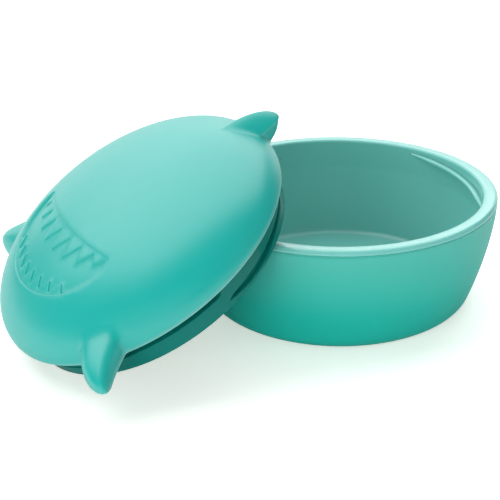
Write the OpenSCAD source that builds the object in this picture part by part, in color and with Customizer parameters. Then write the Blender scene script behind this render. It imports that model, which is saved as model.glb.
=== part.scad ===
// Toddler snack container: a round bowl, and a domed lid with three fins and a toothed mouth.
// The bowl is a soft outer shell over a firm liner. The lid is a hollow cover closed from below by
// a threaded plug, with a sealing ring between them. Lengths are millimetres and angles degrees.
// The bowl stands on the XY plane with its axis on Z, and the lid leans on its rim, as it is put
// down while a child eats.

/* [Bowl] */
// Radius of the bowl's outer face at the rim
rim_r = 64.3; // [56:0.1:74]
// Height of the bowl from its base to the top of the rim
bowl_h = 46.2; // [36:0.1:70]
// How far the side draws in between the rim and the base
side_draft = 10.9; // [6:0.1:14]
// Swell of the side, where 1 is a straight cone
side_swell = 1.7; // [1.2:0.05:2.4]
// Radius of the corner between the base and the side
base_corner = 8; // [6:0.1:12]
// Wall of the soft outer shell
shell_wall = 2.6; // [1.6:0.1:3.2]
// Wall of the firm liner below its neck
liner_wall = 1.9; // [1.2:0.1:2.6]
// Width of the rim, from the outer face to the neck
rim_w = 5.8; // [5.4:0.1:8]
// Height of the liner's lip, which rests on the shell's top edge
lip_h = 1.9; // [1.6:0.1:4]
// Rounding of the lip's outer edge
lip_round = 1.4; // [0.6:0.1:1.5]
// Rounding of the lip's inner edge
neck_round = 1.2; // [0.6:0.1:1.5]

/* [Lid cover] */
// How far the cover's edge stays inside the bowl's outer face
lid_inset = 2.9; // [2:0.1:4]
// Height of the dome above the lid's edge
dome_h = 26.9; // [18:0.1:34]
// Height of the upright edge below the dome
edge_h = 1.5; // [0.5:0.1:2]
// Wall of the cover
cover_wall = 2.6; // [2.2:0.1:3.2]
// Wall of the cover's skirt, which surrounds the plug's flange
skirt_wall = 1.6; // [1.2:0.1:2]

/* [Fins] */
// How far the back fin reaches past the lid's edge
back_fin_reach = 10.3; // [6:0.1:14]
// Height of the back fin's tip above the lid's edge
back_fin_tip = 6.2; // [0.5:0.1:8]
// How far a side fin reaches past the lid's edge
side_fin_reach = 16.9; // [8:0.1:20]
// Height of a side fin's tip above the lid's edge
side_fin_tip = 0.9; // [0.5:0.1:4]
// Angle between the mouth and a side fin
side_fin_angle = 51.5; // [45:0.5:70]
// How far back a side fin's tip sweeps
side_fin_sweep = 4.8; // [0:0.1:8]
// Half the width of a fin where it leaves the dome
fin_half_w = 8.5; // [6:0.1:12]
// How far inside the lid's edge a fin's crest leaves the dome
fin_root = 11.4; // [8:0.1:16]

/* [Mouth] */
// Half the width of the mouth
mouth_half_w = 35.8; // [25:0.1:40]
// Distance from the lid's axis to the middle of the upper lip
upper_lip = 17.8; // [12:0.1:22]
// How far the upper lip curves up towards its corners
lip_rise = 4.6; // [0:0.1:7]
// Distance from the lid's axis to the middle of the lower lip
lower_lip = 44.4; // [38:0.1:50]
// Depth of the lips and teeth below the dome
lip_depth = 0.4; // [0.2:0.1:0.7]
// Depth of the open mouth below the teeth
mouth_depth = 1; // [0.4:0.1:1.2]
// Number of teeth in each row
teeth = 8; // [6:2:10]
// Width of a tooth in the middle of the upper row
upper_tooth_w = 9.2; // [6:0.1:10]
// Length of a tooth in the middle of the upper row
upper_tooth_l = 8.6; // [4:0.1:10]
// Width of a tooth in the middle of the lower row
lower_tooth_w = 6.7; // [4:0.1:7]
// Length of a tooth in the middle of the lower row
lower_tooth_l = 4.6; // [2:0.1:6]
// Width of the gum between a lip and its teeth
gum = 2.2; // [1:0.1:3]

/* [Lid plug] */
// Clearance between the plug's band and the bowl's neck
plug_gap = 2; // [1.2:0.1:3]
// Depth of the plug below the lid's edge
plug_depth = 11.5; // [9:0.1:18]
// Depth of the recess above the plug's band
recess_h = 4.2; // [3.5:0.1:6]
// How far the recess sits inside the band
recess_in = 2.5; // [1.5:0.1:3]
// Wall of the plug
plug_wall = 2; // [1.4:0.1:2.6]
// Depth of the plug's floor, measured to its underside
floor_depth = 6; // [5:0.1:9]
// Thickness of the plug's flange
flange_t = 1.6; // [1:0.1:2.5]

/* [Sealing ring] */
// Width of the sealing ring
seal_w = 2.8; // [1.8:0.1:3.2]
// Thickness of the sealing ring
seal_t = 1.8; // [1.2:0.1:2.4]
// How far the sealing ring stands below the lid's edge
seal_proud = 0.5; // [0.2:0.1:0.8]

/* [Lid put down] */
// Tilt of the lid as it leans on the bowl
lean = 32; // [24:0.5:40]
// Direction of the lid from the bowl, turning from +X
lean_to = 206.9; // [0:0.1:360]
// Sideways offset of the lid from the line through the bowl's axis
lean_aside = -4.2; // [-10:0.1:10]
// Turn of the mouth from straight downhill
mouth_turn = -2; // [-180:1:180]

/* [Fits] */
// Clearance around a piece that is pressed into another
fit_gap = 0.1; // [0.05:0.01:0.2]
// Clearance between the lid and what it rests on
rest_gap = 0.2; // [0.1:0.05:0.5]

/* [Hidden] */
$fn = 180;

side_steps = 14;    // straight facets along the bowl's side
corner_steps = 6;   // facets of a rounded corner
dome_steps = 24;    // facets from the lid's edge to the top of the dome
lip_steps = 28;     // facets along a lip of the mouth
fin_rings = 11;     // cross-sections of a fin
fin_arc = 14;       // facets over a fin's crest
spill = 1;          // how far a cut runs past the solid that it opens
hair = 0.02;        // least size of a cross-section

soft_teal = [0.25, 0.75, 0.69];
pale_teal = [0.73, 0.91, 0.88];
lid_teal = [0.36, 0.80, 0.77];
dark_teal = [0.14, 0.53, 0.49];
ring_teal = [0.55, 0.82, 0.80];

// Bowl
neck_r = rim_r - rim_w;
seam_z = bowl_h - lip_h;
liner_in = shell_wall + fit_gap;
liner_bore = liner_in + liner_wall;

// Lid, in its own frame: its edge lies in the XY plane, the dome is above, the mouth faces +X
lid_r = rim_r - lid_inset;
plug_r = neck_r - plug_gap;
recess_r = plug_r - recess_in;
skirt_r = lid_r - skirt_wall;
flange_r = skirt_r - fit_gap;
seal_inner_r = flange_r - seal_w;
seal_top = seal_t - seal_proud;
flange_top = seal_top + fit_gap + flange_t;
floor_t = plug_wall;

// Place of the lid: its plug stands on the table and its floor rests on the bowl's rounded rim
lid_z = plug_r * sin(lean) + plug_depth * cos(lean) + rest_gap;
rim_reach = (rim_r - lip_round) * sin(lean) + (bowl_h - lip_round) * cos(lean) + lip_round;
lid_out = (rim_reach + rest_gap + floor_depth - lid_z * cos(lean)) / sin(lean);

// Radius of the bowl's outer face at height z, and how fast it grows there
function side_r(z) = rim_r - side_draft * pow(max(0, 1 - z / bowl_h), side_swell);
function side_slope(z) = side_draft * side_swell / bowl_h * pow(max(0, 1 - z / bowl_h), side_swell - 1);

// Sweep of the base corner's arc, which meets the side in one line with it
function corner_sweep(n = 8, a = 70) =
    n == 0 ? a : corner_sweep(n - 1, 90 - atan(side_slope(base_corner * (1 - cos(a)))));
corner_a = corner_sweep();
corner_x = side_r(base_corner * (1 - cos(corner_a))) - base_corner * sin(corner_a);

// Profile of the bowl at a depth inside its outer face, from the axis out and up to height top,
// no wider than reach
function cup(depth, top, reach = 1000) = let (
    corner_r = base_corner - depth,
    start = base_corner - corner_r * cos(corner_a)
) concat(
    [[0, depth]],
    [for (i = [0 : corner_steps]) let (a = corner_a * i / corner_steps)
        [min(reach, corner_x + corner_r * sin(a)), base_corner - corner_r * cos(a)]],
    [for (i = [1 : side_steps]) let (z = start + (top - start) * i / side_steps)
        [min(reach, side_r(z) - depth * sqrt(1 + pow(side_slope(z), 2))), z]]
);

function arc(x, z, r, from, to) =
    [for (i = [0 : corner_steps]) let (a = from + (to - from) * i / corner_steps)
        [x + r * cos(a), z + r * sin(a)]];

function backwards(points) = [for (i = [len(points) - 1 : -1 : 0]) points[i]];

module bowl_shell() {
    color(soft_teal) rotate_extrude()
        polygon(concat(cup(0, seam_z), backwards(cup(shell_wall, seam_z))));
}

module bowl_liner() {
    lip_r = side_r(seam_z);
    neck_end = bowl_h - neck_round;
    color(pale_teal) rotate_extrude()
        polygon(concat(
            cup(liner_in, seam_z),
            [[lip_r, seam_z]],
            arc(lip_r - lip_round, bowl_h - lip_round, lip_round, 0, 90),
            arc(neck_r + neck_round, neck_end, neck_round, 90, 180),
            backwards(cup(liner_bore, neck_end - hair, neck_r))
        ));
}

// Height of the dome over radius r, for a dome lowered by depth
function dome_z(r, depth = 0) = edge_h + (dome_h - edge_h - depth) * sqrt(max(0, 1 - pow(r / (lid_r - depth), 2)));

function dome_arc(depth) =
    [for (i = [0 : dome_steps]) let (a = 90 * i / dome_steps)
        [(lid_r - depth) * cos(a), edge_h + (dome_h - edge_h - depth) * sin(a)]];

// Solid dome whose surface lies at a depth inside the cover's
module dome(depth) {
    rotate_extrude() polygon(concat([[0, 0], [lid_r - depth, 0]], dome_arc(depth)));
}

// Space inside the cover, with the stepped skirt that seats the plug's flange
module cover_space() {
    inner = [for (p = dome_arc(cover_wall)) if (p[1] > flange_top) p];
    rotate_extrude()
        polygon(concat(
            [[0, -spill], [skirt_r, -spill], [skirt_r, flange_top], [inner[0][0], flange_top]],
            inner
        ));
}

// One cross-section of a fin: flat below, with a rounded crest
function fin_ring(x, y, half_w, low, high) =
    [for (i = [0 : fin_arc]) let (a = 180 * i / fin_arc, c = cos(a))
        [x, y + half_w * sign(c) * pow(abs(c), 1.3), low + (high - low) * sin(a)]];

// Horn-shaped fin that reaches out along +X and sweeps towards +Y
module fin(reach, tip, sweep) {
    root_x = lid_r - fin_root;
    root_h = dome_z(root_x) - rest_gap;
    rings = [for (i = [0 : fin_rings - 1]) let (
        u = sin(90 * i / fin_rings),
        crest = pow(1 - pow(u, 2.6), 1.7),
        low = tip * pow(u, 4.8)
    ) fin_ring(
        root_x + (lid_r + reach - root_x) * u,
        sweep * pow(u, 4),
        fin_half_w * pow(1 - u, 0.38),
        low,
        max(low + hair, tip + (root_h - tip) * crest)
    )];
    n = fin_arc + 1;
    points = concat([for (ring = rings) each ring], [[lid_r + reach, sweep, tip]]);
    faces = concat(
        [[for (j = [0 : n - 1]) j]],
        [for (i = [0 : fin_rings - 2]) for (j = [0 : n - 1]) let (a = i * n + j, b = i * n + (j + 1) % n)
            each [[a, a + n, b], [b, a + n, b + n]]],
        [for (j = [0 : n - 1]) [(fin_rings - 1) * n + j, fin_rings * n, (fin_rings - 1) * n + (j + 1) % n]]
    );
    polyhedron(points, faces);
}

// Lips: the upper one is a shallow arch, and the lower one is half of an ellipse
function upper_x(y) = upper_lip - lip_rise * pow(y / mouth_half_w, 2);
function lower_x(y) = let (middle = upper_lip)
    middle + (lower_lip - middle) * sqrt(max(0, 1 - pow(y / mouth_half_w, 2)));

module mouth_outline() {
    polygon(concat(
        [for (i = [0 : lip_steps]) let (y = mouth_half_w * cos(180 * i / lip_steps)) [lower_x(y), y]],
        [for (i = [1 : lip_steps - 1]) let (y = -mouth_half_w * cos(180 * i / lip_steps)) [upper_x(y), y]]
    ));
}

// Teeth get narrower and shorter towards the corners of the mouth
function tooth_edge(k, w) = w * k * (1 - 0.035 * abs(k));
function tooth_size(k) = 1 - 0.026 * k * k;

module upper_teeth() {
    half = teeth / 2;
    for (k = [-half : half - 1]) {
        y0 = tooth_edge(k, upper_tooth_w);
        y1 = tooth_edge(k + 1, upper_tooth_w);
        tip = (y0 + y1) / 2;
        long = upper_tooth_l * tooth_size(k + 0.5);
        polygon([
            [0, y0], [upper_x(y0) + gum, y0],
            [upper_x(tip) + gum + long, tip],
            [upper_x(y1) + gum, y1], [0, y1]
        ]);
    }
}

module lower_teeth() {
    half = teeth / 2;
    for (k = [-half : half - 1]) {
        y0 = tooth_edge(k, lower_tooth_w);
        y1 = tooth_edge(k + 1, lower_tooth_w);
        tip = (y0 + y1) / 2;
        long = lower_tooth_l * tooth_size(k + 0.5);
        polygon([
            [lid_r, y0], [lower_x(y0) - gum, y0],
            [lower_x(tip) - gum - long, tip],
            [lower_x(y1) - gum, y1], [lid_r, y1]
        ]);
    }
}

// What the mouth takes out of the dome: the lips' shallow panel, and the deeper space between the teeth
module mouth_cut() {
    difference() {
        linear_extrude(dome_h + spill) mouth_outline();
        dome(lip_depth);
    }
    difference() {
        linear_extrude(dome_h + spill) difference() {
            mouth_outline();
            upper_teeth();
            lower_teeth();
        }
        dome(lip_depth + mouth_depth);
    }
}

// Carries the lid from its own frame to where it leans on the bowl
module put_down() {
    rotate([0, 0, lean_to]) translate([lid_out, lean_aside, lid_z])
        rotate([0, lean, 0]) rotate([0, 0, mouth_turn]) children();
}

module lid_cover() {
    color(lid_teal) put_down() difference() {
        union() {
            dome(0);
            rotate([0, 0, 180]) fin(back_fin_reach, back_fin_tip, 0);
            for (side = [0, 1]) mirror([0, side, 0])
                rotate([0, 0, side_fin_angle]) fin(side_fin_reach, side_fin_tip, side_fin_sweep);
        }
        cover_space();
        mouth_cut();
    }
}

module lid_plug() {
    wall_r = plug_r - recess_in - plug_wall;
    band_bore = plug_r - plug_wall;
    color(dark_teal) put_down() rotate_extrude()
        polygon([
            [0, -floor_depth], [band_bore, -floor_depth], [band_bore, -plug_depth], [plug_r, -plug_depth],
            [plug_r, -recess_h], [recess_r, -recess_h], [recess_r, 0], [seal_inner_r - fit_gap, 0],
            [seal_inner_r - fit_gap, seal_top + fit_gap], [flange_r, seal_top + fit_gap],
            [flange_r, flange_top], [wall_r, flange_top],
            [wall_r, floor_t - floor_depth], [0, floor_t - floor_depth]
        ]);
}

module seal_ring() {
    color(ring_teal) put_down() translate([0, 0, -seal_proud]) difference() {
        cylinder(h = seal_t, r = flange_r);
        translate([0, 0, -spill]) cylinder(h = seal_t + 2 * spill, r = seal_inner_r);
    }
}

bowl_shell();
bowl_liner();
lid_cover();
lid_plug();
seal_ring();
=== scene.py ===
# Toddler snack container: a round bowl of a soft shell over a firm liner, and a domed lid with three
# fins and a toothed mouth in relief. The lid is off, and leans on the bowl's rim with its plug on the
# table. Sizes are in millimetres, angles in degrees, and the bowl's axis is Z.
import math

import bpy
import numpy as np
from mathutils import Matrix, Vector
from mathutils.geometry import delaunay_2d_cdt


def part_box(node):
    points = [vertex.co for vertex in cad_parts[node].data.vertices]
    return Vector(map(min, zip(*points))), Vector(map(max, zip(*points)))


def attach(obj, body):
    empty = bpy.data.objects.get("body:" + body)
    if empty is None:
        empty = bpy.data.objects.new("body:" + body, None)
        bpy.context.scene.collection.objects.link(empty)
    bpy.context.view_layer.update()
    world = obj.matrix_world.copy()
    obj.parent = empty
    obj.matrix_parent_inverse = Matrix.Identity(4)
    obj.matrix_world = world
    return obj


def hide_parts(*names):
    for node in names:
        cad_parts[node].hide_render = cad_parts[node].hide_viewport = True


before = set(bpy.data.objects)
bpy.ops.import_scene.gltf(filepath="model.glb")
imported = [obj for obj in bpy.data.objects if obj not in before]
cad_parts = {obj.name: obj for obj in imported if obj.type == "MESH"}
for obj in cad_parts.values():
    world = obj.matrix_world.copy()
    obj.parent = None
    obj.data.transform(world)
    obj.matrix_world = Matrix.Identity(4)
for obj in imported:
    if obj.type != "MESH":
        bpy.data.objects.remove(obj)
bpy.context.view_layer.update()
MM = 0.001
TINY = 1e-9                  # keeps a division away from zero

# Camera: a long lens in front of the bowl and a little to its left, looking down on the lid and into
# the bowl, with the horizon a degree off level.
EYE = (-35.97, -462.47, 226.38)
LOOK_DOWN = 24.16
ROLL = -0.99
LENS = 87.74
SENSOR = 36

camera = bpy.data.objects.new("camera", bpy.data.cameras.new("camera"))
bpy.context.scene.collection.objects.link(camera)
camera.data.sensor_width = SENSOR
camera.data.lens = LENS
camera.matrix_world = (
    Matrix.Translation(Vector(EYE) * MM)
    @ Matrix.Rotation(math.radians(90 - LOOK_DOWN), 4, "X")
    @ Matrix.Rotation(math.radians(ROLL), 4, "Z")
)
bpy.context.scene.camera = camera
bpy.context.scene.view_settings.view_transform = "Standard"

# Studio: a white table, a softbox above and behind the container, whose sheen lies on the lid, a low
# glow behind, and matt light from the front and the right. The table keeps the soft shadow.
TABLE_SIZE = 1900
TABLE_WHITE = (0.93, 0.93, 0.93, 1)
TABLE_LIFT = (0.48, 0.50, 0.46, 1)       # only seen where the shadow is deep enough; its green tint there is painted bounce light
AMBIENT = 0.15
AMBIENT_COLOUR = (0.95, 0.98, 1.0, 1)
BACKDROP_COLOUR = (1, 1, 1, 1)


def softbox(name, place, aim, size, watts, mirrored=True):
    """Area lamp at a place, turned to its aim. Glossy skins show it only where it is mirrored."""
    light = bpy.data.lights.new(name, "AREA")
    light.shape = "RECTANGLE"
    light.size, light.size_y = size[0] * MM, size[1] * MM
    light.energy = watts
    lamp = bpy.data.objects.new(name, light)
    bpy.context.scene.collection.objects.link(lamp)
    lamp.location = Vector(place) * MM
    lamp.rotation_euler = (Vector(aim) - Vector(place)).to_track_quat("-Z", "Y").to_euler()
    lamp.visible_glossy = mirrored


def seen_or_lit(tree, lit, seen, kind):
    """Output that lights the object as lit does, and shows seen to the camera."""
    rays = tree.nodes.new("ShaderNodeLightPath")
    pick = tree.nodes.new("ShaderNodeMixShader")
    tree.links.new(rays.outputs["Is Camera Ray"], pick.inputs[0])
    tree.links.new(lit.outputs[0], pick.inputs[1])
    tree.links.new(seen.outputs[0], pick.inputs[2])
    tree.links.new(pick.outputs[0], tree.nodes.new(kind).inputs["Surface"])


def table_material():
    """Matt white, lifted a little where the camera sees it, with a green tint that paints bounce light
    into the shadow.
    """
    material = bpy.data.materials.new("white_table")
    material.use_nodes = True
    tree = material.node_tree
    tree.nodes.clear()
    matt = tree.nodes.new("ShaderNodeBsdfDiffuse")
    matt.inputs["Color"].default_value = TABLE_WHITE
    glow = tree.nodes.new("ShaderNodeEmission")
    glow.inputs["Color"].default_value = TABLE_LIFT
    both = tree.nodes.new("ShaderNodeAddShader")
    tree.links.new(matt.outputs[0], both.inputs[0])
    tree.links.new(glow.outputs[0], both.inputs[1])
    seen_or_lit(tree, matt, both, "ShaderNodeOutputMaterial")
    return material


softbox("top_softbox", (-240, 350, 790), (-80, -20, 40), (1800, 1200), watts=14.2)
softbox("back_glow", (-60, 950, 290), (-40, 0, 40), (1900, 500), watts=3.9)
softbox("front_fill", (-320, -870, 250), (0, 0, 20), (1100, 460), watts=5.7, mirrored=False)
softbox("right_fill", (820, -300, 420), (20, 0, 20), (600, 500), watts=1.3, mirrored=False)

world = bpy.data.worlds.new("white_studio")
bpy.context.scene.world = world
world.use_nodes = True
world.node_tree.nodes.clear()
ambient, backdrop = (world.node_tree.nodes.new("ShaderNodeBackground") for _ in range(2))
ambient.inputs["Color"].default_value = AMBIENT_COLOUR
ambient.inputs["Strength"].default_value = AMBIENT
backdrop.inputs["Color"].default_value = BACKDROP_COLOUR
seen_or_lit(world.node_tree, ambient, backdrop, "ShaderNodeOutputWorld")

half_table = TABLE_SIZE * MM / 2
table_corners = [
    (-half_table, -half_table, 0), (half_table, -half_table, 0),
    (half_table, half_table, 0), (-half_table, half_table, 0),
]
table_mesh = bpy.data.meshes.new("table")
table_mesh.from_pydata(table_corners, [], [(0, 1, 2, 3)])
table = bpy.data.objects.new("table", table_mesh)
bpy.context.scene.collection.objects.link(table)
table.data.materials.append(table_material())

# Skins: each piece is one closed skin, made of rings of points round its axis.
COLUMNS = 240                # points in a ring, unless a piece has its own columns
ON_AXIS = 1e-6               # a ring smaller than this is one point


def arc(r, z, radius, start, end, steps=8):
    """Points of a profile on an arc round (r, z)."""
    turns = np.radians(np.linspace(start, end, steps + 1))
    return [(r + radius * math.cos(t), z + radius * math.sin(t)) for t in turns]


def ring_points(radii, heights, angles):
    """Points of all rings, and for each ring the numbers of its points."""
    n = len(angles)
    verts, rings = [], []
    for radius, height in zip(radii, heights):
        radius, height = np.broadcast_to(radius, n), np.broadcast_to(height, n)
        if radius.max() < ON_AXIS:
            rings.append([len(verts)])
            verts.append((0, 0, height[0]))
        else:
            rings.append(list(range(len(verts), len(verts) + n)))
            verts.extend(zip(radius * np.cos(angles), radius * np.sin(angles), height))
    return verts, rings


def ring_faces(rings, n, ring_shaped):
    """Faces from each ring to the next, and from the last to the first where the piece is a ring."""
    faces = []
    for a, b in zip(rings, rings[1:] + rings[:1] * ring_shaped):
        for j in range(n):
            k = (j + 1) % n
            if len(a) == 1:
                faces.append((a[0], b[k], b[j]))
            elif len(b) == 1:
                faces.append((a[j], a[k], b[0]))
            else:
                faces.append((a[j], a[k], b[k], b[j]))
    return faces


def spun(
    name, radii, heights, columns=None, place=Matrix.Identity(4), extra=None, ring_shaped=False, thin=()
):
    """Closed skin round Z through rings of radii and heights, one value or one row of values per ring.
    Where a mark is given, it is painted light: how much painted sheen or highlight pales each ring."""
    angles = np.linspace(0, 2 * math.pi, COLUMNS, endpoint=False) if columns is None else columns
    verts, rings = ring_points(radii, heights, angles)
    faces = ring_faces(rings, len(angles), ring_shaped)
    if extra:
        verts, faces = extra(verts, faces, rings)
    mesh = bpy.data.meshes.new(name)
    mesh.from_pydata([place @ (Vector(v) * MM) for v in verts], [], faces)
    mesh.validate()
    mesh.polygons.foreach_set("use_smooth", [True] * len(mesh.polygons))
    pale = np.zeros(len(verts))
    for ring, value in zip(rings, thin):
        pale[ring] = value
    mesh.attributes.new("thin", "FLOAT", "POINT").data.foreach_set("value", pale)
    piece = bpy.data.objects.new(name, mesh)
    bpy.context.scene.collection.objects.link(piece)
    return piece


def lathe(name, profile, **more):
    """Skin turned from a profile of radii and heights."""
    return spun(name, [p[0] for p in profile], [p[1] for p in profile], **more)


def finish_piece(piece, node, body, material):
    """Gives a piece its material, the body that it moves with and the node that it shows."""
    piece.data.materials.append(material)
    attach(piece, body)
    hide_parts(node)


# Moulded materials: plastic and silicone differ in colour, gloss, grain and in how far light sinks in.
MOTTLE = 0.03                # how far the flow marks change the colour
FLOW_SCALE = 28
GLOSS_SCALE = 160
GLOSS_SPREAD = 0.05          # how far the roughness wanders either way
GRAIN_DEPTH = 0.00005        # metres
LIGHT_DEPTH = 0.0015         # metres that light runs under the skin
LIGHT_SHARES = (0.25, 1.0, 0.85)         # share of that for red, green and blue
EDGE_FROM, EDGE_FULL = 0.56, 0.68        # how bent the skin is where an edge starts to show, and fully
WHITENED = 0.45              # share of white in the palest skin


def moulded(name, colour, roughness, grain, bump, edge=0.0, thin=0.0, skin=0.0, coat=0.0, ior=1.45):
    """Fine grain, faint flow marks in colour and gloss, paler skin on edges, and painted light where
    marked.
    """
    material = bpy.data.materials.new(name)
    material.use_nodes = True
    nodes, links = material.node_tree.nodes, material.node_tree.links
    surface = nodes["Principled BSDF"]
    surface.inputs["IOR"].default_value = ior
    surface.inputs["Coat Weight"].default_value = coat
    surface.inputs["Subsurface Weight"].default_value = skin
    surface.inputs["Subsurface Radius"].default_value = LIGHT_SHARES
    surface.inputs["Subsurface Scale"].default_value = LIGHT_DEPTH
    place = nodes.new("ShaderNodeTexCoord")

    def noise(scale, detail):
        node = nodes.new("ShaderNodeTexNoise")
        node.inputs["Scale"].default_value = scale
        node.inputs["Detail"].default_value = detail
        links.new(place.outputs["Object"], node.inputs["Vector"])
        return node.outputs["Fac"]

    def ramp(value, low, high):
        node = nodes.new("ShaderNodeMapRange")
        node.inputs["To Min"].default_value = low
        node.inputs["To Max"].default_value = high
        links.new(value, node.inputs["Value"])
        return node.outputs["Result"]

    def paler_by(base, mark, start, full, share):
        crest = nodes.new("ShaderNodeMapRange")
        crest.inputs["From Min"].default_value = start
        crest.inputs["From Max"].default_value = full
        crest.inputs["To Max"].default_value = share
        links.new(mark, crest.inputs["Value"])
        paler = nodes.new("ShaderNodeMix")
        paler.data_type = "RGBA"
        links.new(crest.outputs["Result"], paler.inputs["Factor"])
        links.new(base, paler.inputs["A"])
        white = [WHITENED + (1 - WHITENED) * channel for channel in colour[:3]]
        paler.inputs["B"].default_value = (*white, 1)
        return paler.outputs["Result"]

    tone = nodes.new("ShaderNodeHueSaturation")
    tone.inputs["Color"].default_value = colour
    links.new(ramp(noise(FLOW_SCALE, 3), 1 - MOTTLE, 1 + MOTTLE), tone.inputs["Value"])
    base = tone.outputs["Color"]
    if edge:
        shape = nodes.new("ShaderNodeNewGeometry")
        base = paler_by(base, shape.outputs["Pointiness"], EDGE_FROM, EDGE_FULL, edge)
    # Painted light: paler colour where the mesh's mark paints a sheen or a highlight.
    if thin:
        thinness = nodes.new("ShaderNodeAttribute")
        thinness.attribute_name = "thin"
        base = paler_by(base, thinness.outputs["Fac"], 0, 1, thin)
    links.new(base, surface.inputs["Base Color"])
    gloss = ramp(noise(GLOSS_SCALE, 4), roughness - GLOSS_SPREAD, roughness + GLOSS_SPREAD)
    links.new(gloss, surface.inputs["Roughness"])
    relief = nodes.new("ShaderNodeBump")
    relief.inputs["Strength"].default_value = bump
    relief.inputs["Distance"].default_value = GRAIN_DEPTH
    links.new(noise(grain, 2), relief.inputs["Height"])
    links.new(relief.outputs["Normal"], surface.inputs["Normal"])
    return material


# Bowl shell: the soft outer bowl, moulded in matte teal silicone. Its side swells up from a rounded
# base corner, and its top edge carries the liner's lip.
_, shell_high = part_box("bowl_shell")
_, liner_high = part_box("bowl_liner")
RIM_R = 64.3
SIDE_DRAFT = 10.9            # how far the side runs in from the rim down to the base
SIDE_SWELL = 1.7             # how curved it is: 1 would be a plain cone
BASE_CORNER = 8
SHELL_WALL = 2.6
SEAM_ROUND = 0.35
CORNER_STEPS = 12
SIDE_STEPS = 36
SHEEN_FROM = 16               # height from which the side is painted paler up to the seam: painted sheen
SOFT_TEAL = (0.002, 0.450, 0.365, 1)
bowl_h = liner_high.z / MM
seam_z = shell_high.z / MM
seam_low = seam_z - SEAM_ROUND


def side_r(z):
    """Outer radius of the bowl at a height."""
    return RIM_R - SIDE_DRAFT * max(0, 1 - z / bowl_h) ** SIDE_SWELL


def side_slope(z):
    """How fast that radius grows with height."""
    return SIDE_DRAFT * SIDE_SWELL / bowl_h * max(0, 1 - z / bowl_h) ** (SIDE_SWELL - 1)


def base_corner():
    """Sweep of the corner's arc and radius of its centre, where the arc runs into the side."""
    sweep = math.radians(70)               # a first guess, which settles in a few rounds
    for _ in range(8):
        sweep = math.atan2(1, side_slope(BASE_CORNER * (1 - math.cos(sweep))))
    height = BASE_CORNER * (1 - math.cos(sweep))
    return sweep, side_r(height) - BASE_CORNER * math.sin(sweep)


def cup(depth, top, widest=math.inf):
    """Profile at a depth inside the bowl's outer face, from the axis out and up to height top."""
    sweep, centre = base_corner()
    radius = BASE_CORNER - depth
    points = [(0, depth)]
    for i in range(CORNER_STEPS + 1):
        a = sweep * i / CORNER_STEPS
        points.append((min(widest, centre + radius * math.sin(a)), BASE_CORNER - radius * math.cos(a)))
    start = points[-1][1]
    for i in range(1, SIDE_STEPS + 1):
        z = start + (top - start) * i / SIDE_STEPS
        points.append((min(widest, side_r(z) - depth * math.hypot(1, side_slope(z))), z))
    return points


inner = cup(SHELL_WALL, seam_low)
shell_profile = (
    cup(0, seam_low)
    + arc(side_r(seam_z) - SEAM_ROUND, seam_low, SEAM_ROUND, 0, 90, 4)
    + arc(inner[-1][0] + SEAM_ROUND, seam_low, SEAM_ROUND, 90, 180, 4)
    + inner[-2::-1]
)
# Painted sheen: the side is drawn paler from that height up to the seam.
shell_thin = [max(0, z - SHEEN_FROM) / (bowl_h - SHEEN_FROM) for _, z in shell_profile]
shell = lathe("soft_bowl_shell", shell_profile, thin=shell_thin)
finish_piece(
    shell, "bowl_shell", "bowl",
    # the paler top of the side is painted sheen
    moulded(
        "matte_silicone", SOFT_TEAL, roughness=0.5, grain=2600, bump=0.35,
        edge=0.06, thin=0.16, skin=0.1,
    ),
)

# Bowl liner: the firm inner cup, moulded in pale glossy plastic. Its lip rests on the shell, and three
# thin screw ridges stand in its straight neck, each pointed where the lid's thread meets it first.
FIT_GAP = 0.1
LINER_WALL = 1.9
RIM_W = 5.8
LIP_ROUND = 1.4
NECK_ROUND = 1.2
PALE_TEAL = (0.19, 0.57, 0.52, 1)
STARTS = 3
SCREW_RISE = 0.0692          # rise of the thread for each degree of turn
RIDGE_TOP_AT = 53            # direction of the first ridge's upper end
RIDGE_TOP_Z = 2.6            # depth of that end below the rim
RIDGE_TURN = 62
RIDGE_T = 1.6
RIDGE_OUT = 2.3
RIDGE_BEVEL_IN, RIDGE_BEVEL_UP = 0.3, 0.35
RIDGE_FOOT = 0.4             # how far the ridge's foot is let into the neck
RIDGE_FLARE = 0.3            # how much the foot spreads above and below
RIDGE_STEPS = 48
RIDGE_THINNEST = 0.25        # share of its thickness left at the points
UPPER_POINT, LOWER_POINT = 5, 6          # it tapers over one part in so many of its turn
POINT_BLUNT = 0.6
neck_r = RIM_R - RIM_W
liner_in = SHELL_WALL + FIT_GAP


def ridge_section(taper):
    """Section of a ridge: how far each corner stands inward from the neck, and how far up."""
    out = RIDGE_OUT * taper
    half = RIDGE_T * (RIDGE_THINNEST + (1 - RIDGE_THINNEST) * taper) / 2
    return [
        (-RIDGE_FOOT, -half - RIDGE_FLARE),
        (out - RIDGE_BEVEL_IN, -half),
        (out, -half + RIDGE_BEVEL_UP),
        (out, half - RIDGE_BEVEL_UP),
        (out - RIDGE_BEVEL_IN, half),
        (-RIDGE_FOOT, half + RIDGE_FLARE),
    ]


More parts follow.
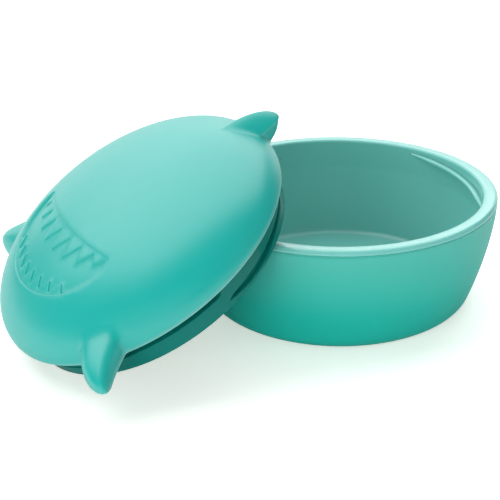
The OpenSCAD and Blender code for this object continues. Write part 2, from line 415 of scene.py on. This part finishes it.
def with_ridges(verts, faces, rings):
    """Adds a thin tapered screw ridge for each start, let into the neck."""
    for start in range(STARTS):
        first = len(verts)
        for i in range(RIDGE_STEPS + 1):
            u = i / RIDGE_STEPS
            upper, lower = min(1, UPPER_POINT * u), min(1, LOWER_POINT * (1 - u))
            a = math.radians(RIDGE_TOP_AT + start * 360 / STARTS - RIDGE_TURN * u)
            z = bowl_h - RIDGE_TOP_Z - SCREW_RISE * RIDGE_TURN * u
            section = ridge_section(upper**POINT_BLUNT * lower**POINT_BLUNT)
            for inward, up in section:
                r = neck_r - inward
                verts.append((r * math.cos(a), r * math.sin(a), z + up))
        n = len(section)
        for i in range(RIDGE_STEPS):
            for j in range(n):
                p, q = first + i * n + j, first + i * n + (j + 1) % n
                faces.append((p, q, q + n, p + n))
        last = first + RIDGE_STEPS * n
        faces.append(tuple(range(first, first + n))[::-1])
        faces.append(tuple(range(last, last + n)))
    return verts, faces


bore = cup(liner_in + LINER_WALL, bowl_h - NECK_ROUND, widest=neck_r)
liner_profile = (
    cup(liner_in, seam_z)
    + arc(side_r(seam_z) - SEAM_ROUND, seam_z + SEAM_ROUND, SEAM_ROUND, -90, 0, 4)
    + arc(side_r(seam_z) - LIP_ROUND, bowl_h - LIP_ROUND, LIP_ROUND, 0, 90)
    + arc(neck_r + NECK_ROUND, bowl_h - NECK_ROUND, NECK_ROUND, 90, 180)
    + bore[-2::-1]
)
liner = lathe("firm_bowl_liner", liner_profile, extra=with_ridges)
finish_piece(
    liner, "bowl_liner", "bowl",
    moulded(
        "pale_gloss_plastic", PALE_TEAL, roughness=0.22, grain=900, bump=0.08,
        edge=0.05, skin=0.25, coat=0.2,
    ),
)

# Lid: sizes that its three pieces share, and where it leans
LID_INSET = 2.9
EDGE_H = 1.5
SKIRT_WALL = 1.6
PLUG_GAP = 2
PLUG_DEPTH = 11.5
FLOOR_DEPTH = 6
FLANGE_T = 1.6
SEAL_T = 1.8
SEAL_PROUD = 0.5
SEAL_W = 2.8
LEAN = 32
LEAN_TO = 206.9              # direction from the bowl in which the lid lies
LEAN_ASIDE = -4.2
MOUTH_TURN = -2
REST_GAP = 0.2
lid_r = RIM_R - LID_INSET
plug_r = neck_r - PLUG_GAP
skirt_r = lid_r - SKIRT_WALL
flange_r = skirt_r - FIT_GAP
seal_inner = flange_r - SEAL_W
seal_top = SEAL_T - SEAL_PROUD
flange_low = seal_top + FIT_GAP
flange_top = flange_low + FLANGE_T


def put_down():
    """Takes the lid from its own frame, edge in the XY plane and mouth to +X, to where it leans."""
    tilt = math.radians(LEAN)
    up = plug_r * math.sin(tilt) + PLUG_DEPTH * math.cos(tilt) + REST_GAP
    rim = (RIM_R - LIP_ROUND) * math.sin(tilt) + (bowl_h - LIP_ROUND) * math.cos(tilt) + LIP_ROUND
    out = (rim + REST_GAP + FLOOR_DEPTH - up * math.cos(tilt)) / math.sin(tilt)
    return (
        Matrix.Rotation(math.radians(LEAN_TO), 4, "Z")
        @ Matrix.Translation(Vector((out, LEAN_ASIDE, up)) * MM)
        @ Matrix.Rotation(tilt, 4, "Y")
        @ Matrix.Rotation(math.radians(MOUTH_TURN), 4, "Z")
    )


lid_place = put_down()

# Lid cover: a hollow dome moulded in one with its three fins. The fins run into the dome in soft
# hollows. The mouth is pressed in twice: a shallow lip, and the deeper opening between two rows of
# teeth.
DOME_H = 26.9
COVER_WALL = 2.6
EDGE_ROUND = 0.35
SEAM_STEP = 0.22             # how far the skin steps in below the line round the edge
SEAM_SOFT = 0.3
HIGHLIGHT_EDGE = 0.9              # height over which a painted highlight grows down to the edge
LINE_W = 0.3                 # half the width of the painted highlight line above it
LINE_HIGHLIGHT = 0.45             # how strong that painted highlight is
UNDER_HIGHLIGHT = 0.15            # how much paler the band below the line is painted, a faint painted highlight
LID_TEAL = (0.002, 0.425, 0.375, 1)

# Sizes of a fin, which points toward a direction from the mouth:
#   root, sink     how far inside the lid's edge its crest starts, and how far below the dome
#   reach, tip     how far past the edge it ends, and at what height
#   line           how much higher than the tip its widest line starts
#   arch           powers of the crest's fall from its root to its tip
#   half_w, blunt  half its width at the root, and the power with which its plan closes at the end
#   lift           power with which its lower edge climbs to the tip
#   flank, tuck    power of its section, and how much it narrows below the line
#   sweep, lean    how far the tip bends aside, and how far the crest moves aside
#   hollow         size of the soft hollow round it, and how that changes with height
BACK_FIN = dict(
    root=11.4, sink=0, reach=9.3, tip=6.4, line=2.6, arch=(2.0, 0.6), half_w=8.6, blunt=0.38,
    lift=4.6, tuck=0.75, flank=1.3, lean=0, hollow=(2.2, -0.05)
)
SIDE_FIN = dict(
    root=4.4, sink=0.8, reach=17.3, tip=1.1, line=0.5, arch=(1.3, 0.36), half_w=9.3, blunt=0.52,
    lift=9, tuck=0.3, flank=2.9, hollow=(1.3, 0.1)
)
FINS = (
    dict(BACK_FIN, toward=176, sweep=0),
    dict(SIDE_FIN, toward=51.7, sweep=5, lean=2),
    dict(SIDE_FIN, toward=-55.3, sweep=-5, lean=-2),
)
FIN_END = 0.9995             # share of a fin's length at which it ends, just short of no width
LEAST_BELOW = 0.05           # least height of a fin below its widest line
LEAST_ABOVE = 0.1            # and above it


def dome_z(r):
    """Height of the dome at a radius."""
    return EDGE_H + (DOME_H - EDGE_H) * np.sqrt(np.maximum(0, 1 - (r / lid_r) ** 2))


def dome_gap(p):
    """Rough distance of points from the dome, negative inside."""
    scale = np.array([lid_r, lid_r, DOME_H - EDGE_H])
    q = np.stack([p[..., 0], p[..., 1], np.maximum(0, p[..., 2] - EDGE_H)], -1) / scale
    size = np.linalg.norm(q, axis=-1)
    return (size - 1) * size / np.maximum(TINY, np.linalg.norm(q / scale, axis=-1))


def along_fin(p, fin):
    """Points in a fin's frame: how far along it they lie, from 0 at its root to 1, and x and y."""
    a = math.radians(fin["toward"])
    x = p[..., 0] * math.cos(a) + p[..., 1] * math.sin(a)
    y = p[..., 1] * math.cos(a) - p[..., 0] * math.sin(a)
    return np.clip((x - lid_r + fin["root"]) / (fin["reach"] + fin["root"]), 0, FIN_END), x, y


def fin_low(u, fin):
    """Height of a fin's lower edge."""
    return fin["tip"] * u ** fin["lift"]


def fin_line(u, fin):
    """Height of the line round a fin, where it is widest and its underside begins."""
    return np.maximum(fin["tip"] + fin["line"] * (1 - u), fin_low(u, fin) + LEAST_BELOW)


def fin_gap(p, fin):
    """Rough distance of points from a fin: a crest, flanks down to its line, and a tuck below it."""
    u, x, y = along_fin(p, fin)
    z = p[..., 2]
    root_h = float(dome_z(lid_r - fin["root"])) - fin["sink"]
    half_w = fin["half_w"] * (1 - u) ** fin["blunt"]
    bow, fall = fin["arch"]
    low, line = fin_low(u, fin), fin_line(u, fin)
    high = np.maximum(fin["tip"] + (root_h - fin["tip"]) * (1 - u**bow) ** fall, line + LEAST_ABOVE)
    rise = np.where(z > line, (z - line) / (high - line), fin["tuck"] * (line - z) / (line - low))
    ridge = fin["sweep"] * u**4 + fin["lean"] * (1 - u**3) * np.where(z > line, np.minimum(rise, 1), 0)
    across = (y - ridge) / half_w
    flank = fin["flank"]
    gap = ((np.abs(across) ** flank + np.abs(rise) ** flank) ** (1 / flank) - 1) * half_w
    gap = np.maximum(np.maximum(gap, low - z), x - lid_r - fin["reach"])
    behind = lid_r - fin["root"] - x
    return np.where(behind > 0, np.hypot(np.maximum(gap, 0), behind), gap)


def cover_gap(p):
    """The dome joined to its fins, with a soft hollow between them."""
    gap = dome_gap(p)
    for fin in FINS:
        other = fin_gap(p, fin)
        blend = fin["hollow"][0] + fin["hollow"][1] * np.maximum(0, p[..., 2])
        near = np.maximum(blend - np.abs(gap - other), 0) / blend
        gap = np.minimum(gap, other) - near**2 * blend / 4
    return gap


def edge_line(p):
    """Heights of the cover's lower edge and of the line above it, round the dome and along the fins."""
    low, line = np.zeros(p.shape[:-1]), np.full(p.shape[:-1], float(EDGE_H))
    for fin in FINS:
        u, _, _ = along_fin(p, fin)
        on_fin = fin_gap(p, fin) < dome_gap(p)
        low = np.where(on_fin, fin_low(u, fin), low)
        line = np.where(on_fin, fin_line(u, fin), line)
    return low, line


def stepped_in(p):
    """Points of the cover's skin, moved in below the line that runs round its edge and its fins."""
    below = np.clip((edge_line(p)[1] - p[..., 2]) / SEAM_SOFT + 0.5, 0, 1)
    plan = p * [1, 1, 0]
    inward = -plan / np.maximum(TINY, np.linalg.norm(plan, axis=-1, keepdims=True))
    return p + inward * (SEAM_STEP * below**2 * (3 - 2 * below))[..., None]


def edge_thinness(p):
    """Painted highlight on the skin: strongest along its lower edge, a little at the line above, faint
    below it.
    """
    low, line = edge_line(p)
    at_edge = 1 - (p[..., 2] - low) / HIGHLIGHT_EDGE
    at_line = LINE_HIGHLIGHT * (1 - np.abs(p[..., 2] - line) / LINE_W)
    return np.clip(np.maximum(at_edge, at_line), 0, 1) + UNDER_HIGHLIGHT * (p[..., 2] < line)


# Skin of the cover: rings up the dome and its fins, found by looking out from the middle of the lid
PATCH_R = 46.5               # the mouth's patch ends inside the fins' roots
COVER_ROWS = 113
ROW_CROWD = 1.25             # crowds the rings towards the edge
COVER_COLUMNS = 480
OPEN_SPACING = 1.5           # degrees between columns away from the fins
FIN_DENSITY = 2.4            # further columns per degree over a fin
FIN_SPREAD = 11              # degrees either side that these cover
SPREAD_END = 1.2             # how sharply they end there
SWEEP_SHARE = 0.4            # share of a fin's sweep that moves its columns
COUNT_STEP = 0.05            # degrees, fine enough to add the columns up
LOOK_FROM, LOOK_TO = 30, 90  # distances between which the skin is looked for
LOOK_STEPS = 200
HALVINGS = 14


def surface_along(origin, ways):
    """Farthest point of the cover's surface along each way out from the origin."""
    reach_out = np.linspace(LOOK_FROM, LOOK_TO, LOOK_STEPS)
    gaps = np.stack([cover_gap(origin + ways * t) for t in reach_out], 0)
    inside = gaps < 0
    last = LOOK_STEPS - 1 - np.argmax(inside[::-1], axis=0)
    near = reach_out[np.minimum(last, LOOK_STEPS - 2)]
    far = near + reach_out[1] - reach_out[0]
    for _ in range(HALVINGS):
        middle = (near + far) / 2
        inside = cover_gap(origin + ways * middle[..., None]) < 0
        near, far = np.where(inside, middle, near), np.where(inside, far, middle)
    return origin + ways * near[..., None]


def lid_columns():
    """Directions round the lid, close together over the fins."""
    turn = np.arange(0, 360, COUNT_STEP)
    density = np.full(len(turn), 1 / OPEN_SPACING)
    for fin in FINS:
        middle = fin["toward"] + SWEEP_SHARE * fin["sweep"]
        away = np.abs((turn - middle + 180) % 360 - 180)
        density += FIN_DENSITY / (1 + np.exp((away - FIN_SPREAD) * SPREAD_END))
    total = np.cumsum(density)
    total = (total - total[0]) / (total[-1] - total[0])
    return np.radians(np.interp(np.linspace(0, 1, COVER_COLUMNS + 1)[:-1], total, turn))


# Mouth relief: outlines in the plan of the lid, each wall drawn by several loops so that it is crisp
MOUTH_HALF_W = 35.0
UPPER_LIP = 17.8
LIP_RISE = 4.6
LOWER_LIP = 44.4
MOUTH_LONG = LOWER_LIP - UPPER_LIP
LIP_CORNER = (31.8, 20.2)    # y where a corner leaves the upper lip, and x where it meets the lower
LIP_DEPTH = 0.5
MOUTH_DEPTH = 0.62
TEETH = 8
# A row: its middle tooth's width and length, the gum between lip and teeth and the distance across at
# which that closes, how much the teeth crowd together to the ends, and how soon they get small
UPPER_ROW = dict(width=9.25, long=8.6, gum=2.0, gum_ends=48, crowd=0.0085, small=3.4)
LOWER_ROW = dict(width=6.65, long=4.7, gum=2.3, gum_ends=31, crowd=0.0015, small=7)
TOOTH_ROUND = 0.4
SHARP_TURN = 25              # corners that turn less than this stay as they are
CORNER_SHARE = 0.4           # share of an edge that the arc at its end may take
CORNER_STEP = 15             # degrees in each step of that arc
MOUTH_ASKEW = -1.3           # turn of the mouth from the middle between the side fins
SIDE_STEP = 0.9
SIDE_START = 0.8             # how far past the last tooth the opening's side starts
SIDE_PARTS = 10
OUTLINE_SPACING = 0.6
LOWER_POINTS, CORNER_POINTS, UPPER_POINTS = 97, 13, 41
PATCH_PITCH = 1.5            # spacing of the points between the loops
PATCH_CLEAR = 0.95           # how far they stay off the loops
PROBE = 0.01                 # step over which a slope is measured
MERGE = 1e-5                 # points of the patch that are closer than this become one
KEEP_INSIDE = 1              # keeps the triangles inside the patch's outer ring
# How far outside its outline each loop of a wall lies, and how much of the wall's depth it has there
WALL_LOOPS = (
    (0.28, 0.0), (0.18, 0.06), (0.08, 0.25), (0.0, 0.5), (-0.08, 0.75), (-0.18, 0.94), (-0.28, 1.0)
)


def upper_x(y):
    """Place of the upper lip, across the mouth."""
    return UPPER_LIP - LIP_RISE * (y / MOUTH_HALF_W) ** 2


def lower_x(y):
    """Place of the lower lip, across the mouth."""
    return UPPER_LIP + MOUTH_LONG * math.sqrt(max(0, 1 - (y / MOUTH_HALF_W) ** 2))


def divided(points):
    """Closed outline with its long edges divided."""
    dense = []
    for here, after in zip(points, points[1:] + points[:1]):
        here, after = Vector(here), Vector(after)
        parts = max(1, round((after - here).length / OUTLINE_SPACING))
        dense += [tuple(here.lerp(after, j / parts)) for j in range(parts)]
    return np.array(dense)


def rounded(points, radius):
    """Closed outline with arcs of a radius at its sharp corners."""
    points = [Vector(p) for p in points]
    out = []
    for i, here in enumerate(points):
        a, b = points[i - 1] - here, points[(i + 1) % len(points)] - here
        turn = math.pi - a.angle(b)
        if turn < math.radians(SHARP_TURN):
            out.append(here)
            continue
        r = min(radius, CORNER_SHARE * min(a.length, b.length) / math.tan(turn / 2))
        centre = here + (a.normalized() + b.normalized()).normalized() * r / math.cos(turn / 2)
        start = here + a.normalized() * r * math.tan(turn / 2) - centre
        side = 1 if a.cross(b) < 0 else -1
        steps = max(3, round(math.degrees(turn) / CORNER_STEP))
        out += [centre + Matrix.Rotation(side * turn * j / steps, 2) @ start for j in range(steps + 1)]
    return [tuple(p) for p in out]


def offset_loop(loop, distance):
    """Loop moved outward by a distance."""
    along = np.roll(loop, -1, 0) - np.roll(loop, 1, 0)
    along /= np.linalg.norm(along, axis=1)[:, None]
    out = np.stack([along[:, 1], -along[:, 0]], 1)
    area = 0.5 * np.sum(loop[:, 0] * np.roll(loop[:, 1], -1) - np.roll(loop[:, 0], -1) * loop[:, 1])
    return loop + out * distance * np.sign(area)


def askew(loop):
    """Loop turned with the mouth."""
    a = math.radians(MOUTH_ASKEW)
    return loop @ np.array([[math.cos(a), math.sin(a)], [-math.sin(a), math.cos(a)]])


def lips():
    """Outline of the mouth: the lower lip's half ellipse, the flat upper lip, and a soft corner at
    each end."""
    corner_y, corner_x = LIP_CORNER
    first = math.asin((corner_x - UPPER_LIP) / MOUTH_LONG)
    turns = np.linspace(first, math.pi - first, LOWER_POINTS)
    lower = [(UPPER_LIP + MOUTH_LONG * math.sin(t), MOUTH_HALF_W * math.cos(t)) for t in turns]
    start = Vector((upper_x(corner_y), -corner_y))
    step = 0.1
    slope = (upper_x(corner_y + step) - upper_x(corner_y)) / step
    bend = Vector((start.x + slope * (MOUTH_HALF_W - corner_y), -MOUTH_HALF_W))
    end = Vector(lower[-1])
    bows = np.linspace(0, 1, CORNER_POINTS)[1:]
    left = [tuple(end.lerp(bend, t).lerp(bend.lerp(start, t), t)) for t in bows]
    upper = [(upper_x(y), y) for y in np.linspace(-corner_y, corner_y, UPPER_POINTS)[1:-1]]
    right = [(x, -y) for x, y in left[::-1]]
    return askew(divided(lower + left + upper + right))


def tooth_row(lip, sign, width, long, gum, gum_ends, crowd, small):
    """Zigzag of a row of teeth, from left to right. They get closer and smaller towards the ends."""
    def edge(k):
        return width * k * (1 + crowd - crowd * k * k)

    def root(y):
        return lip(y) + sign * gum * (1 - (y / gum_ends) ** 2)

    points = []
    for k in range(-TEETH // 2, TEETH // 2):
        tip = (edge(k) + edge(k + 1)) / 2
        points.append((root(edge(k)), edge(k)))
        points.append((root(tip) + sign * long / (1 + (abs(k + 0.5) / small) ** 4), tip))
    return points + [(root(edge(TEETH // 2)), edge(TEETH // 2))]


def opening():
    """Outline of the open mouth: along the upper teeth, down a side and back along the lower ones."""
    upper = tooth_row(upper_x, 1, **UPPER_ROW)
    lower = tooth_row(lower_x, -1, **LOWER_ROW)
    side = []
    inner_w = MOUTH_HALF_W - SIDE_STEP
    last = lower[-1][1]
    for i in range(SIDE_PARTS + 1):
        turn = math.radians(90 * i / SIDE_PARTS)
        y = last + SIDE_START + (inner_w - last - SIDE_START) * math.sin(turn)
        drop = (MOUTH_LONG - SIDE_STEP) * math.sqrt(max(0, 1 - (y / inner_w) ** 2))
        side.append((UPPER_LIP + drop, y))
    left = [(x, -y) for x, y in side]
    return askew(divided(rounded(upper + side[::-1] + lower[::-1] + left, TOOTH_ROUND)))


def within(points, loop):
    """Whether each point lies inside a closed loop."""
    x, y = points[:, 0][:, None], points[:, 1][:, None]
    x0, y0 = loop[:, 0], loop[:, 1]
    x1, y1 = np.roll(x0, -1), np.roll(y0, -1)
    rise = np.where(y1 == y0, TINY, y1 - y0)
    crosses = ((y0 > y) != (y1 > y)) & (x < (x1 - x0) * (y - y0) / rise + x0)
    return crosses.sum(1) % 2 == 1


def dome_top(plan):
    """Heights of the cover's surface straight above points of the plan."""
    z = dome_z(np.linalg.norm(plan, axis=1))
    for _ in range(4):
        p = np.column_stack([plan, z])
        slope = (cover_gap(p + [0, 0, PROBE]) - cover_gap(p)) / PROBE
        z = z - cover_gap(p) / slope
    return z


def dome_level(plan):
    """How level the dome is above points of the plan: 1 at its crown, and less down its side."""
    r = np.linalg.norm(plan, axis=1)
    return 1 / np.sqrt(1 + ((dome_z(r + PROBE) - dome_z(r)) / PROBE) ** 2)


def patch_grid(drawn):
    """Points that fill the patch between the points drawn already, in staggered rows."""
    steps = np.arange(-PATCH_R, PATCH_R, PATCH_PITCH)
    lines = np.arange(-PATCH_R, PATCH_R, PATCH_PITCH * math.sqrt(0.75))
    grid = np.array([(x + PATCH_PITCH / 2 * (i % 2), y) for i, y in enumerate(lines) for x in steps])
    grid = grid[np.linalg.norm(grid, axis=1) < PATCH_R - 1]
    away = np.array([np.min(np.sum((drawn - g) ** 2, 1)) for g in grid])
    return grid[away > PATCH_CLEAR**2]


def mouth_patch(rim):
    """Triangles of the dome inside the ring of points rim, with the mouth pressed into them."""
    plan, sunk, edges = [rim[:, :2]], [np.zeros(len(rim))], []

    def fence(first, count):
        edges.extend((first + i, first + (i + 1) % count) for i in range(count))

    fence(0, len(rim))
    count = len(rim)
    walls = ((lips(), 0, LIP_DEPTH), (opening(), LIP_DEPTH, MOUTH_DEPTH))
    for loop, above, drop in walls:
        for distance, share in WALL_LOOPS:
            plan.append(offset_loop(loop, distance))
            sunk.append(np.full(len(loop), above + drop * share))
            fence(count, len(loop))
            count += len(loop)
    grid = patch_grid(np.vstack(plan))
    depth = np.zeros(len(grid))
    for loop, _, drop in walls:
        depth += drop * within(grid, loop)
    plan, sunk = np.vstack(plan + [grid]), np.concatenate(sunk + [depth])
    points = [Vector(p) for p in plan]
    _, _, triangles, origins, _, _ = delaunay_2d_cdt(points, edges, [], KEEP_INSIDE, MERGE)
    source = [min(ids) for ids in origins]
    plan, sunk = plan[source], sunk[source]
    z = dome_top(plan) - sunk / dome_level(plan)
    return np.column_stack([plan, z]), source, [tuple(t) for t in triangles]


columns = lid_columns()
base = np.array([0, 0, EDGE_ROUND])
top_angle = math.atan2(float(dome_z(PATCH_R)) - EDGE_ROUND, PATCH_R)
rows = top_angle * np.linspace(0, 1, COVER_ROWS) ** ROW_CROWD
ways = np.stack(
    [
        np.cos(rows)[:, None] * np.cos(columns),
        np.cos(rows)[:, None] * np.sin(columns),
        np.sin(rows)[:, None] * np.ones_like(columns),
    ],
    -1,
)
outer = stepped_in(surface_along(base, ways))
patch, patch_source, patch_faces = mouth_patch(outer[-1])

CEILING_TURN = 2.2           # degrees between the rings of the ceiling
CEILING_RINGS = 40           # enough to pass below the flange's top, where the ceiling ends
CEILING_STEP = 0.05
EDGE_CHAMFER = 0.3
EDGE_STEPS = 5


def cover_rings():
    """Rings from the ceiling of the space inside, down the skirt, round the edge and up to the patch,
    and how strong the painted highlight is at each of them."""
    radii, heights = [], []
    ceiling_r, ceiling_h = lid_r - COVER_WALL, DOME_H - EDGE_H - COVER_WALL
    for a in np.radians(90 - CEILING_TURN * np.arange(CEILING_RINGS)):
        z = EDGE_H + ceiling_h * math.sin(a)
        if z > flange_top:
            radii.append(ceiling_r * math.cos(a))
            heights.append(z)
    radii += [radii[-1] + CEILING_STEP, skirt_r, skirt_r, skirt_r + EDGE_CHAMFER]
    heights += [flange_top, flange_top, EDGE_CHAMFER, 0]
    thin = [0] * (len(radii) - 1)
    flat = np.hypot(outer[0][:, 0], outer[0][:, 1])
    for i in range(EDGE_STEPS):
        a = math.radians(90 * i / EDGE_STEPS)
        radii.append(flat - EDGE_ROUND * (1 - math.sin(a)))
        heights.append(EDGE_ROUND * (1 - math.cos(a)))
    # the rounded lower edge gets the full painted highlight
    thin += [1] * (EDGE_STEPS + 1)
    for ring in outer:
        radii.append(np.hypot(ring[:, 0], ring[:, 1]))
        heights.append(ring[:, 2])
        thin.append(edge_thinness(ring))
    return radii, heights, thin


def add_patch(verts, faces, rings):
    """Joins the mouth's patch to the last ring, whose points it shares."""
    last, count = rings[-1], len(rings[-1])
    number = {}
    for i, source in enumerate(patch_source):
        if source < count:
            number[i] = last[source]
        else:
            number[i] = len(verts)
            verts.append(tuple(patch[i]))
    faces += [tuple(number[i] for i in face) for face in patch_faces]
    return verts, faces


cover_r, cover_z, cover_thin = cover_rings()
cover = spun(
    "finned_lid_cover", cover_r, cover_z,
    columns=columns, place=lid_place, extra=add_patch, thin=cover_thin,
)
finish_piece(
    cover, "lid_cover", "lid",
    moulded(
        "satin_lid_plastic", LID_TEAL, roughness=0.37, grain=2200, bump=0.3,
        # share of white in the painted highlight along the edge and its line
        thin=0.5, skin=0.1, ior=1.75,
    ),
)

# Lid plug: the darker screw plug under the cover, moulded in glossy plastic. Round its band run three
# wide threads, and each one's tail overlaps the next one's start with a narrow groove between them.
RECESS_TOP = 0.2
RECESS_IN = 2.5
PLUG_WALL = 2
THREAD_START = 97            # direction from the mouth where a thread starts
LUG_LOW = (10.3, 14)         # depth of the lowest point of a thread's upper flank, and its turn
LUG_HOOK = 1.2               # how far the flank hooks up at the thread's start
LUG_END = 31                 # turn where the flank starts to climb
CLIMB = 0.075
LEVEL = (5.2, 83, 0.012)     # depth where the climb ends, its turn, and the slight rise after it
TAIL_TURN = 66               # where the thread before ends
TAIL_LOW = (8.3, 0.034)      # depth of the tail's lower flank, and its rise
TAIL_DIP = (0.8, 4)          # how far that flank dips at the thread's start, and over which turn
GROOVE_PAST = 3              # how far the groove runs on past the tail
RECESS_END = 118.8
EDGE_SOFT = 0.4
FLANGE_CHAMFER = 0.2
NECK_CHAMFER = 0.3
BAND_ROUND = 0.35
BORE_ROUND = 0.5
FLOOR_CHAMFER = 0.6
PLUG_COLUMNS = 720
BAND_ROWS = 96
PLUG_TEAL = (0.002, 0.180, 0.150, 1)
recess_r = plug_r - RECESS_IN
band_bore = plug_r - PLUG_WALL
wall_r = recess_r - PLUG_WALL
neck_top_r = seal_inner - FIT_GAP
floor_top = PLUG_WALL - FLOOR_DEPTH
plug_columns = np.linspace(0, 2 * math.pi, PLUG_COLUMNS, endpoint=False)
band_rows = np.linspace(0, -PLUG_DEPTH + BAND_ROUND, BAND_ROWS)


def thread_height(turn, z):
    """How far the threads fill the band, 0 to 1, at turns in degrees and a height from the edge."""
    phase = (turn - THREAD_START + MOUTH_TURN) % (360 / STARTS)
    low, low_at = LUG_LOW
    hook_turn = np.where(phase < low_at, low_at, LUG_END - low_at)
    hook = -low + LUG_HOOK * ((phase - low_at) / hook_turn) ** 2
    climb = -low + LUG_HOOK + CLIMB * (phase - LUG_END)
    level, level_at, level_rise = LEVEL
    along = np.minimum(climb, -level + level_rise * (phase - level_at))
    flank = np.where(phase < LUG_END, hook, along)
    tail, tail_rise = TAIL_LOW
    dip, dip_turn = TAIL_DIP
    tail_low = -tail + tail_rise * phase - dip * np.clip(1 - phase / dip_turn, 0, 1) ** 2
    half = (-RECESS_TOP - flank) / 2
    past_end = np.maximum(TAIL_TURN - phase, phase - RECESS_END) * math.radians(plug_r)
    recess = np.hypot(np.maximum(0, past_end + half), z - flank - half) - half
    groove = np.where(phase < TAIL_TURN + GROOVE_PAST, np.maximum(z - tail_low, flank - z), recess)
    outside = np.clip(np.minimum(recess, groove) / EDGE_SOFT + 0.5, 0, 1)
    return outside * outside * (3 - 2 * outside)


def band_ring(z):
    """Radii round the threaded band at a height."""
    return recess_r + RECESS_IN * thread_height(np.degrees(plug_columns), z)


# From the middle of the floor's top out over the flange, down the band and back in under the floor
plug_profile = [
    (0, floor_top),
    (wall_r, floor_top),
    (wall_r, flange_top - FLANGE_CHAMFER),
    (wall_r + FLANGE_CHAMFER, flange_top),
    (flange_r - FLANGE_CHAMFER, flange_top),
    (flange_r, flange_top - FLANGE_CHAMFER),
    (flange_r, flange_low),
    (neck_top_r, flange_low),
    (neck_top_r, NECK_CHAMFER),
    (neck_top_r - NECK_CHAMFER, 0),
]
plug_profile += [(band_ring(z), z) for z in band_rows]
plug_profile += arc(plug_r - BAND_ROUND, -PLUG_DEPTH + BAND_ROUND, BAND_ROUND, 0, -90, 5)[1:]
plug_profile += arc(band_bore + BORE_ROUND, -PLUG_DEPTH + BORE_ROUND, BORE_ROUND, -90, -180, 3)
plug_profile += [
    (band_bore, -FLOOR_DEPTH - FLOOR_CHAMFER),
    (band_bore - FLOOR_CHAMFER, -FLOOR_DEPTH),
    (0, -FLOOR_DEPTH),
]
plug = lathe("threaded_lid_plug", plug_profile[::-1], columns=plug_columns, place=lid_place)
finish_piece(
    plug, "lid_plug", "lid",
    moulded(
        "dark_gloss_plastic", PLUG_TEAL, roughness=0.16, grain=1200, bump=0.06,
        edge=0.06, skin=0.05, ior=1.28,
    ),
)

# Sealing ring: a soft silicone ring pressed up between the plug's flange and the cover's skirt. It
# stands half a millimetre below the lid's edge, to meet the bowl's rim.
SEAL_TEAL = (0.21, 0.57, 0.54, 1)
SEAL_ROUND = 0.35
seal_profile = []
for r, z, turn in (
    (flange_r - SEAL_ROUND, seal_top - SEAL_ROUND, 0),
    (seal_inner + SEAL_ROUND, seal_top - SEAL_ROUND, 90),
    (seal_inner + SEAL_ROUND, -SEAL_PROUD + SEAL_ROUND, 180),
    (flange_r - SEAL_ROUND, -SEAL_PROUD + SEAL_ROUND, 270),
):
    seal_profile += arc(r, z, SEAL_ROUND, turn, turn + 90, 4)
seal = lathe("silicone_seal_ring", seal_profile, place=lid_place, ring_shaped=True)
finish_piece(
    seal, "seal_ring", "lid",
    moulded("seal_silicone", SEAL_TEAL, roughness=0.5, grain=1800, bump=0.2, skin=0.2),
)
